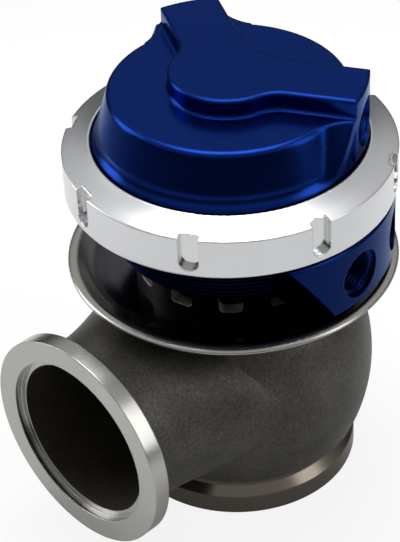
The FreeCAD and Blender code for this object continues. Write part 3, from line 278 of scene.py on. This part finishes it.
# The ring's near-black tone is painted shade, not the steel's own colour.
ring_painted_shade = turned_metal("stainless_painted_shade", "#131214", 0.34, 0.3 * MM, 0.0005 * MM)
window_bright = grained_metal("cut_stainless", "#e2dfd8", 0.45, 0.4 * MM, 0.0005 * MM)
bronze = turned_metal("bearing_bronze", "#a87b3c", 0.3, 0.2 * MM, 0.001 * MM)
valve_steel = turned_metal("ground_valve_steel", "#a39c92", 0.24, 0.2 * MM, 0.0008 * MM)
bright_steel = grained_metal("zinc_plated_steel", "#b9babc", 0.28, 0.2 * MM, 0.0008 * MM)
spring_steel = grained_metal("phosphated_spring_steel", "#3a3a3d", 0.42, 0.15 * MM, 0.002 * MM)
plain_aluminium = turned_metal("plain_aluminium", "#c4c5c7", 0.3, 0.25 * MM, 0.001 * MM)
gasket_steel = grained_metal("layered_gasket_steel", "#77777a", 0.45, 0.3 * MM, 0.002 * MM)

# %% [markdown]
# The heat shield is spun from stainless sheet. Its bowl has a dark colour that is painted
# shade, for the dark housing and ring that it mirrors, and its rolled lip keeps the steel's
# bright colour. The change runs with the distance from the axis, which a node works out
# from the place, so no line of triangles shows.

# %% Heat shield
SPUN_PITCH = 0.6 * MM
BOWL_SMOOTH, BOWL_ROUGH = 0.14, 0.18
LIP_ROUGHER = 0.08


def shield_steel(name, bowl, lip, bowl_r, lip_r):
    """Polished sheet whose colour goes from the bowl's to the lip's between two radii."""
    material, tree, shader, place = start(name)
    flat = add(tree, "ShaderNodeVectorMath", (place, (1, 1, 0)), operation="MULTIPLY")
    radius = add(tree, "ShaderNodeVectorMath", (flat.outputs["Vector"],), operation="LENGTH")
    change = add(tree, "ShaderNodeMapRange", (
        radius.outputs["Value"], bowl_r, lip_r, 0.0, 1.0)).outputs["Result"]
    tone = add(tree, "ShaderNodeMix", {0: change, 6: colour(bowl), 7: colour(lip)},
               data_type="RGBA")
    spun = add(tree, "ShaderNodeMapRange", (
        turned_marks(tree, place, SPUN_PITCH), NOISE_LOW, NOISE_HIGH, BOWL_SMOOTH, BOWL_ROUGH))
    rougher = add(tree, "ShaderNodeMapRange", (change, 0.0, 1.0, 0.0, LIP_ROUGHER))
    rough = add(tree, "ShaderNodeMath", (spun.outputs["Result"], rougher.outputs["Result"]),
                operation="ADD")
    edges = add(tree, "ShaderNodeBevel", {"Radius": 0.4 * MM}, samples=EDGE_SAMPLES)
    fill(tree, shader, {
        "Base Color": tone.outputs[2], "Roughness": rough.outputs["Value"],
        "Metallic": 1.0, "Normal": edges.outputs["Normal"]})
    return material


# The bowl's dark tone is painted shade; the lip's tone is the steel's own.
shield_painted_dark_bowl = shield_steel("polished_shield_painted_bowl_shade", "#4b4a4f", "#aaa7a2", 35.0 * MM, 37.4 * MM)

# %% [markdown]
# The body is stainless steel cast in sand. Its skin keeps the grain of the sand, blasted
# to an even dull grey-brown. Two sizes of noise make the bump: grains of about 0.4 mm,
# and slow waves from the mould.

# %% Sand-cast stainless
BLOTCH_CELLS = 70.0
SPECK_CELLS = 1500.0
GRAIN_CELLS = 2400.0
WAVE_CELLS = 260.0
GRAIN_DEPTH = 0.07 * MM
WAVE_DEPTH = 0.12 * MM
CAST_EDGE = 0.6 * MM


def cast_skin(name, dark, light, rough):
    """Cast metal: blotches times specks in its colour, sand grain over slow waves in its skin."""
    material, tree, shader, place = start(name)
    cloud, speck, grain, waves = [
        add(tree, "ShaderNodeTexNoise", {
            "Vector": place, "Scale": cells, "Detail": detail, "Roughness": share}).outputs["Fac"]
        for cells, detail, share in (
            (BLOTCH_CELLS, 5.0, 0.6), (SPECK_CELLS, 2.0, 0.5),
            (GRAIN_CELLS, 2.0, 0.6), (WAVE_CELLS, 3.0, 0.5))]
    both = add(tree, "ShaderNodeMath", (cloud, speck), operation="MULTIPLY").outputs["Value"]
    spread = add(tree, "ShaderNodeMapRange", (both, 0.12, 0.4, 0.0, 1.0)).outputs["Result"]
    tone = add(tree, "ShaderNodeMix", {0: spread, 6: colour(dark), 7: colour(light)},
               data_type="RGBA")
    dull = add(tree, "ShaderNodeMapRange", (
        grain, NOISE_LOW, NOISE_HIGH, rough - 0.06, rough + 0.1))
    relief = add(tree, "ShaderNodeBevel", {"Radius": CAST_EDGE}, samples=EDGE_SAMPLES)
    for pattern, depth, strength in ((waves, WAVE_DEPTH, 0.7), (grain, GRAIN_DEPTH, 0.8)):
        relief = add(tree, "ShaderNodeBump", {
            "Height": pattern, "Distance": depth, "Strength": strength,
            "Normal": relief.outputs["Normal"]})
    fill(tree, shader, {
        "Base Color": tone.outputs[2], "Roughness": dull.outputs["Result"],
        "Metallic": 0.85, "Normal": relief.outputs["Normal"]})
    return material


cast_steel = cast_skin("sand_cast_stainless", "#3a3936", "#575550", 0.5)
cast_bore = cast_skin("cast_bore_stainless", "#4a4741", "#67635b", 0.4)

# %% [markdown]
# Rubber and pressed fibre are dull and dark. A little roughness noise keeps them from
# looking like painted plastic.

# %% Rubber and fibre


def soft_skin(name, dark, light, rough, cells, depth):
    """A dull non-metal skin with a fine grain."""
    material, tree, shader, place = start(name)
    cloud = add(tree, "ShaderNodeTexNoise", {
        "Vector": place, "Scale": cells, "Detail": 4.0}).outputs["Fac"]
    tone = add(tree, "ShaderNodeMix", {0: cloud, 6: colour(dark), 7: colour(light)},
               data_type="RGBA")
    dull = add(tree, "ShaderNodeMapRange", (
        cloud, NOISE_LOW, NOISE_HIGH, rough - 0.05, rough + 0.08))
    relief = add(tree, "ShaderNodeBump", {"Height": cloud, "Distance": depth, "Strength": 1.0})
    fill(tree, shader, {
        "Base Color": tone.outputs[2], "Roughness": dull.outputs["Result"],
        "Normal": relief.outputs["Normal"]})
    return material


seal_rubber = soft_skin("seal_rubber", "#141414", "#1e1e1e", 0.5, 900.0, 0.01 * MM)
diaphragm_rubber = soft_skin(
    "cloth_backed_rubber", "#16171a", "#24262b", 0.6, 1400.0, 0.03 * MM)
fibre = soft_skin("pressed_fibre", "#1b1a19", "#2e2c2a", 0.8, 1800.0, 0.03 * MM)

# %% [markdown]
# CAD meshes are loose flat triangles, which show as facets on polished metal. A merged
# copy with smooth shading, and sharp edges only where faces meet at a real corner, looks
# turned instead. The copy stands for the CAD node, which stays in the scene, hidden.

# %% Smooth copies of the solids
BODY_OF = {
    node: body for body, nodes in frame["record"]["behaviour"]["bodies"].items()
    for node in nodes}
SAME_POINT = 0.001 * MM
CORNER = 16.0
AREA_WEIGHT = 80


def welded(mesh, name):
    """A new mesh of the same triangles, with vertices closer than a micrometre merged."""
    shape = bmesh.new()
    shape.from_mesh(mesh)
    bmesh.ops.remove_doubles(shape, verts=shape.verts, dist=SAME_POINT)
    shape.verts.index_update()
    points = [vertex.co[:] for vertex in shape.verts]
    faces = [[vertex.index for vertex in face.verts] for face in shape.faces]
    shape.free()
    copy = bpy.data.meshes.new(name)
    copy.from_pydata(points, [], faces)
    copy.update()
    return copy


def smooth_copy(node, *materials, rides=True, even=True):
    """A merged, smooth-shaded copy of a CAD node that rides on its body and replaces it.

    Even normals weigh each face by its area, so that a flat face beside a rounded edge
    stays flat to the eye and the turn is left to the edge.
    """
    mesh = welded(frame["nodes"][node].data, node + "_skin")
    piece = placed(node + "_skin", mesh)
    for material in materials:
        mesh.materials.append(material)
    mesh.shade_smooth()
    mesh.set_sharp_from_angle(angle=math.radians(CORNER))
    if even:
        normals = piece.modifiers.new("even_normals", "WEIGHTED_NORMAL")
        normals.mode = "FACE_AREA"
        normals.weight = AREA_WEIGHT
        normals.keep_sharp = True
    if rides:
        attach(piece, BODY_OF[node])
    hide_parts(node)
    return piece


def face_table(mesh):
    """Centres and normals of a mesh's faces, as arrays in millimetres and units."""
    count = len(mesh.polygons)
    centre = np.empty(count * 3)
    normal = np.empty(count * 3)
    mesh.polygons.foreach_get("center", centre)
    mesh.polygons.foreach_get("normal", normal)
    return centre.reshape(-1, 3) / MM, normal.reshape(-1, 3)


def paint(piece, mask, slot):
    """Give the faces of a mask another of the piece's materials."""
    index = np.zeros(len(piece.data.polygons), dtype=np.int32)
    piece.data.polygons.foreach_get("material_index", index)
    index[mask] = slot
    piece.data.polygons.foreach_set("material_index", index)
    print(piece.name, "slot", slot, "faces", int(mask.sum()))


# %% [markdown]
# The body has four finishes: cast skin outside, a browner cast skin in the chamber and
# the pipe, and two turned rims, of which the inlet's is darker by painted shade. The
# outlet's rim is painted last, because the heights of the inlet and of the deck also
# cross it. All sizes are in millimetres.

# %% Body
CAST, OUTLET_RIM, BORE, INLET_RIM = range(4)
CHAMBER_R, CHAMBER_LOW, CHAMBER_HIGH = 27.3, 9, 49.2
INLET_TOP = 8.8
DECK_Z = 57.0
PIPE_START_Y, PIPE_BORE_R = -20, 20.8
OUTLET_RIM_Y, OUTLET_RIM_R = -50.0, 20.7

body = smooth_copy("valve_body", cast_steel, outlet_steel, cast_bore, inlet_steel_painted_shade)
x, y, z = face_table(body.data)[0].T
radius = np.hypot(x, y)
pipe_radius = np.hypot(x, z - OUTLET_Z)
paint(body, (radius < CHAMBER_R) & (z < CHAMBER_HIGH) & (z > CHAMBER_LOW), BORE)
paint(body, z < INLET_TOP, INLET_RIM)
paint(body, z > DECK_Z, INLET_RIM)
paint(body, (y < PIPE_START_Y) & (pipe_radius < PIPE_BORE_R), BORE)
paint(body, (y < OUTLET_RIM_Y) & (pipe_radius > OUTLET_RIM_R), OUTLET_RIM)

# %% [markdown]
# The heat shield is spun over a former, so a profile carried round the valve's axis is
# its true shape. The photograph shows a finer edge than the solid has: the wall climbs
# to a crown, falls gently outwards and rolls under. That narrow fall catches the lamp
# as one bright line round the front.

# %% Grid and lathe helpers


def grid_mesh(name, points):
    """A mesh from a grid of points, whose last column joins the first."""
    rows, columns = points.shape[:2]
    here = np.arange(rows * columns).reshape(rows, columns)
    after = np.roll(here, -1, axis=1)
    faces = np.stack([here[:-1], after[:-1], after[1:], here[1:]], axis=-1).reshape(-1, 4)
    mesh = bpy.data.meshes.new(name)
    mesh.from_pydata(points.reshape(-1, 3).tolist(), [], faces.tolist())
    mesh.update()
    return mesh


def carried_round(profile, steps):
    """Points of a profile of radius and height, turned about Z in equal steps."""
    a = np.linspace(0, 2 * np.pi, steps, endpoint=False)[None, :]
    r, z = profile[:, :1], profile[:, 1:]
    return np.stack([r * np.cos(a), r * np.sin(a), z + 0 * a], axis=-1)


def bent(start_at, corner, end_at, count=12):
    """A bend through t from 0 to 1: (1-t)^2 start + 2t(1-t) corner + t^2 end."""
    t = np.linspace(0, 1, count)[:, None]
    start_at, corner, end_at = np.array([start_at, corner, end_at])
    return (1 - t) ** 2 * start_at + 2 * t * (1 - t) * corner + t ** 2 * end_at


# %% [markdown]
# The shield's sizes are those of the solid, apart from its crown and rolled edge. They
# are in millimetres, as radius and height. It has the sheet's thickness all along.

# %% Heat shield's shape
SHEET = 0.8
HOLE_R = 12.0
FLOOR_R = 30.5
FLOOR_Z = 58.4
BOWL_R = 10.3
BOWL_WIDTH = 6.5
CROWN = ((38.75, 62.4), (39.3, 63.0), (40.1, 62.86))
ROLL = ((41.0, 62.53), (41.5, 62.33), (41.55, 61.75))
EDGE_R = 41.55
SHIELD_STEPS = 288
SHIELD_CORNER = 50


def shield_profile():
    """Closed outline of the sheet in radius and height, upper side first.

    The bowl is an arc of radius BOWL_R that leaves the flat floor, so its height is
    BOWL_R - sqrt(BOWL_R^2 - x^2) at x outside the floor. The under side is the upper
    one moved against its normal by the sheet's thickness.
    """
    x = np.linspace(0, BOWL_WIDTH, 16)
    rise = BOWL_R - np.sqrt(BOWL_R ** 2 - x ** 2)
    bowl = np.stack([FLOOR_R + x, FLOOR_Z + rise], axis=1)
    upper = np.concatenate([[[HOLE_R, FLOOR_Z]], bowl, bent(*CROWN), bent(*ROLL)])
    along = np.gradient(upper, axis=0)
    along /= np.linalg.norm(along, axis=1)[:, None]
    under = upper + SHEET * np.stack([along[:, 1], -along[:, 0]], axis=1)
    under[:, 0] = np.clip(under[:, 0], HOLE_R, EDGE_R)
    return np.concatenate([upper, under[::-1], upper[:1]])


shield_mesh = grid_mesh("heat_shield_spun", carried_round(shield_profile(), SHIELD_STEPS) * MM)
shape = bmesh.new()
shape.from_mesh(shield_mesh)
bmesh.ops.remove_doubles(shape, verts=shape.verts, dist=SAME_POINT)
bmesh.ops.recalc_face_normals(shape, faces=shape.faces)
shape.to_mesh(shield_mesh)
shape.free()
shield_mesh.materials.append(shield_painted_dark_bowl)
shield_mesh.shade_smooth()
shield_mesh.set_sharp_from_angle(angle=math.radians(SHIELD_CORNER))
shield = placed("heat_shield_spun", shield_mesh)
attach(shield, "body")
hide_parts("heat_shield")
print("shield faces:", len(shield_mesh.polygons))

# %% [markdown]
# The ring's steel has a near-black colour that is painted shade, for the dark housing and
# shield that it faces and mirrors; its windows' walls are bright cut steel. The collar's
# notches are milled after it is turned, so they shine more than the wall. A notch is
# found by how near a face lies to the nearest of the eight places, along the rim.

# %% Slotted ring, housing, collar and cap
WINDOW_IN_R, WINDOW_OUT_R = 21.5, 24.35
WINDOW_LOW, WINDOW_HIGH = 60.5, 67.5
NOTCH_IN_R, NOTCH_OUT_R = 39.0, 40.8
NOTCH_AT, NOTCH_EVERY = 30.5, 45
NOTCH_REACH = 2.6
UPRIGHT = 0.95

ring = smooth_copy("slotted_ring", ring_painted_shade, window_bright)
x, y, z = face_table(ring.data)[0].T
radius = np.hypot(x, y)
paint(ring, (radius > WINDOW_IN_R) & (radius < WINDOW_OUT_R)
      & (z > WINDOW_LOW) & (z < WINDOW_HIGH), 1)
smooth_copy("lower_housing", housing_blue)
collar = smooth_copy("lock_collar", collar_silver, notch_silver)
centre, normal = face_table(collar.data)
radius = np.hypot(centre[:, 0], centre[:, 1])
angle = (np.degrees(np.arctan2(centre[:, 1], centre[:, 0])) - NOTCH_AT) % NOTCH_EVERY
near = np.radians(np.minimum(angle, NOTCH_EVERY - angle)) * radius
paint(collar, (radius > NOTCH_IN_R) & (radius < NOTCH_OUT_R)
      & (near < NOTCH_REACH) & (np.abs(normal[:, 2]) < UPRIGHT), 1)
smooth_copy("top_cap", cap_blue)

# %% [markdown]
# The pieces inside keep their shape and only get their finish. Four of them give way when
# the valve lifts, so their normals are left to follow the bending mesh.

# %% Inner pieces
SPRINGS = ("outer_spring", "middle_spring", "inner_spring")
INNER = {
    "valve_seat": inlet_steel_painted_shade, "valve": valve_steel, "valve_guide": bronze,
    "stem_scraper": bronze, "body_gasket": gasket_steel, "heat_gasket": fibre,
    "housing_screws": bright_steel, "stem_seal": seal_rubber, "seal_washer": bright_steel,
    "snap_ring": spring_steel, "diaphragm": diaphragm_rubber,
    "diaphragm_plate": plain_aluminium, "spring_cup": plain_aluminium,
    "stem_washer": bright_steel, "stem_nut": bright_steel,
    **{node: spring_steel for node in SPRINGS}}
inner = {
    node: smooth_copy(node, material, rides=node != "diaphragm",
                      even=node not in (*SPRINGS, "diaphragm"))
    for node, material in INNER.items()}

# %% [markdown]
# Two kinds of inner piece give way when the valve lifts. On the real valve the springs
# shorten against the cap's roof by the valve's whole travel, and the diaphragm's rim stays
# clamped under the cap while its middle goes up with the spring cup, and the fold between
# them turns smoothly. Here the springs get meshes of their own, and the diaphragm's place
# is baked into its mesh.

# %% Own meshes for the springs, and the diaphragm's place baked in
for node in SPRINGS:
    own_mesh(inner[node])
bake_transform(inner["diaphragm"])

# %% [markdown]
# A ring of lathe-cut profile carried round an axis makes a thread. Its radius goes down
# and up once for each pitch, and shifts by one pitch in a full turn, as a helix does.
# The ports are 1/8 inch pipe thread, with 27 turns to the inch, so the pitch is 0.94 mm.

# %% Threads in the ports
PORT_R = 5.1
THREAD_PITCH = 0.94
THREAD_DEPTH = 0.5
THREAD_ROOM = 0.03
ROWS_A_PITCH = 12
THREAD_STEPS = 72


def thread_points(length, start_r, angle, height):
    """Points of an inside thread in millimetres, for a port that faces an angle about Z.

    Depth along the port is u and the turn about it is v. The wall's radius is PORT_R
    less the thread's depth times a triangle wave of (u / pitch - v / full turn).
    """
    u = np.linspace(0, length, int(length / THREAD_PITCH * ROWS_A_PITCH))[:, None]
    v = np.linspace(0, 2 * np.pi, THREAD_STEPS, endpoint=False)[None, :]
    phase = (u / THREAD_PITCH - v / (2 * np.pi)) % 1
    wave = 1 - np.abs(2 * phase - 1)
    r = PORT_R - THREAD_ROOM - THREAD_DEPTH * wave
    out = start_r - u + 0 * v
    side = r * np.cos(v)
    rise = r * np.sin(v)
    a = np.radians(angle)
    x = out * np.cos(a) - side * np.sin(a)
    y = out * np.sin(a) + side * np.cos(a)
    return np.stack([x, y, height + rise], axis=-1)


def port_thread(name, body_name, length, start_r, angle, height):
    """One threaded port lining."""
    mesh = grid_mesh(name, thread_points(length, start_r, angle, height) * MM)
    mesh.materials.append(port_blue_painted_shade)
    mesh.shade_smooth()
    piece = placed(name, mesh)
    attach(piece, body_name)


for letter, angle in (("a", 4.0), ("b", 34.0)):
    port_thread("housing_thread_" + letter, "body", 7.0, 38.45, angle, 73.3)
for side, angle in (("right", 29.0), ("left", 151.0)):
    port_thread("cap_thread_" + side, "cap", 4.2, 31.75, angle, 105.3)

# %% [markdown]
# The studio is a sheet of white paper that ends in a greyer bench. The camera sees the
# paper nearly white, as a photographer's backdrop is, and mirrors see it as it is lit.

# %% Floor
FLOOR_HALF = 3
FLOOR_DROP = -0.0002
PAPER_END, BENCH_START = 0.2, 0.4
FLOOR_TO_CAMERA, FLOOR_TO_MIRRORS = 0.86, 0.06


def strength_of(tree, camera_share, mirror_share):
    """How strongly a background glows: for the camera and through glass, and in mirrors."""
    path = add(tree, "ShaderNodeLightPath").outputs
    clear = add(tree, "ShaderNodeMath", (path["Is Camera Ray"], path["Is Transmission Ray"]),
                operation="MAXIMUM").outputs[0]
    seen, mirrored = [
        add(tree, "ShaderNodeMath", pair, operation="MULTIPLY").outputs[0]
        for pair in ((clear, camera_share), (path["Is Glossy Ray"], mirror_share))]
    return add(tree, "ShaderNodeMath", (seen, mirrored), operation="MAXIMUM").outputs[0]


corners = [(-1, -1), (1, -1), (1, 1), (-1, 1)]
floor_mesh = bpy.data.meshes.new("floor")
floor_mesh.from_pydata(
    [(FLOOR_HALF * x, FLOOR_HALF * y, FLOOR_DROP) for x, y in corners], [], [(0, 1, 2, 3)])
floor = placed("floor", floor_mesh)
material = bpy.data.materials.new("pale_floor")
material.use_nodes = True
tree = material.node_tree
tree.nodes.clear()
glow = add(tree, "ShaderNodeEmission", {"Color": (1, 1, 1, 1), "Strength": 1.0})
place = add(tree, "ShaderNodeTexCoord").outputs["Object"]
away = add(tree, "ShaderNodeVectorMath", (place,), operation="LENGTH").outputs["Value"]
fade = add(tree, "ShaderNodeMapRange", (away, PAPER_END, BENCH_START, 0.0, 1.0)).outputs["Result"]
sheet = add(tree, "ShaderNodeMix", {0: fade, 6: colour("#e4e4e4"), 7: colour("#6a6a6a")},
            data_type="RGBA").outputs[2]
paper = add(tree, "ShaderNodeBsdfDiffuse", {"Color": sheet})
share = strength_of(tree, FLOOR_TO_CAMERA, FLOOR_TO_MIRRORS)
both = add(tree, "ShaderNodeMixShader", (share, paper.outputs[0], glow.outputs[0]))
add(tree, "ShaderNodeOutputMaterial", {"Surface": both.outputs[0]})
floor_mesh.materials.append(material)

# %% [markdown]
# Polished metal only looks like metal where it has something dark to show beside
# something bright. So the sky is bright above and dark near the horizon, one wide soft
# lamp hangs overhead, and two narrow ones stand at the sides. Heights in the sky are
# the upward part of a direction, from 0 at the horizon to 1 overhead.

# %% Sky and lamps
HORIZON = 0.1
SKY_LIGHTS = (HORIZON, 0.5, 0.03, 0.5)
SKY_IN_MIRRORS = (HORIZON, 0.45, 0.0, 0.6)

world = bpy.data.worlds.new("studio")
bpy.context.scene.world = world
world.use_nodes = True
tree = world.node_tree
tree.nodes.clear()
direction = add(tree, "ShaderNodeTexCoord").outputs["Generated"]
height = add(tree, "ShaderNodeSeparateXYZ", {"Vector": direction}).outputs["Z"]
overhead, mirror = [
    add(tree, "ShaderNodeMapRange", (height, *steps)).outputs["Result"]
    for steps in (SKY_LIGHTS, SKY_IN_MIRRORS)]
white = strength_of(tree, 1.0, mirror)
level = add(tree, "ShaderNodeMath", (overhead, white), operation="MAXIMUM").outputs[0]
sky = add(tree, "ShaderNodeBackground", {"Color": (1, 1, 1, 1), "Strength": level})
add(tree, "ShaderNodeOutputWorld", {"Surface": sky.outputs[0]})


def lamp(name, place, aim_height, size, power):
    """A rectangular soft lamp at a place, turned to a height on the valve's axis."""
    light = bpy.data.lights.new(name, "AREA")
    light.shape = "RECTANGLE"
    light.size, light.size_y = size
    light.energy = power
    thing = placed(name, light)
    thing.location = place
    ahead = Vector((0, 0, aim_height)) - Vector(place)
    thing.rotation_euler = ahead.to_track_quat("-Z", "Y").to_euler()


lamp("top_lamp", (-0.14, 0.13, 0.8), 0.08, (0.44, 0.44), 4.6)
lamp("left_lamp", (-0.65, -0.35, 0.35), 0.06, (0.3, 0.7), 2.8)
lamp("right_lamp", (0.7, 0.3, 0.4), 0.06, (0.3, 0.7), 1.85)
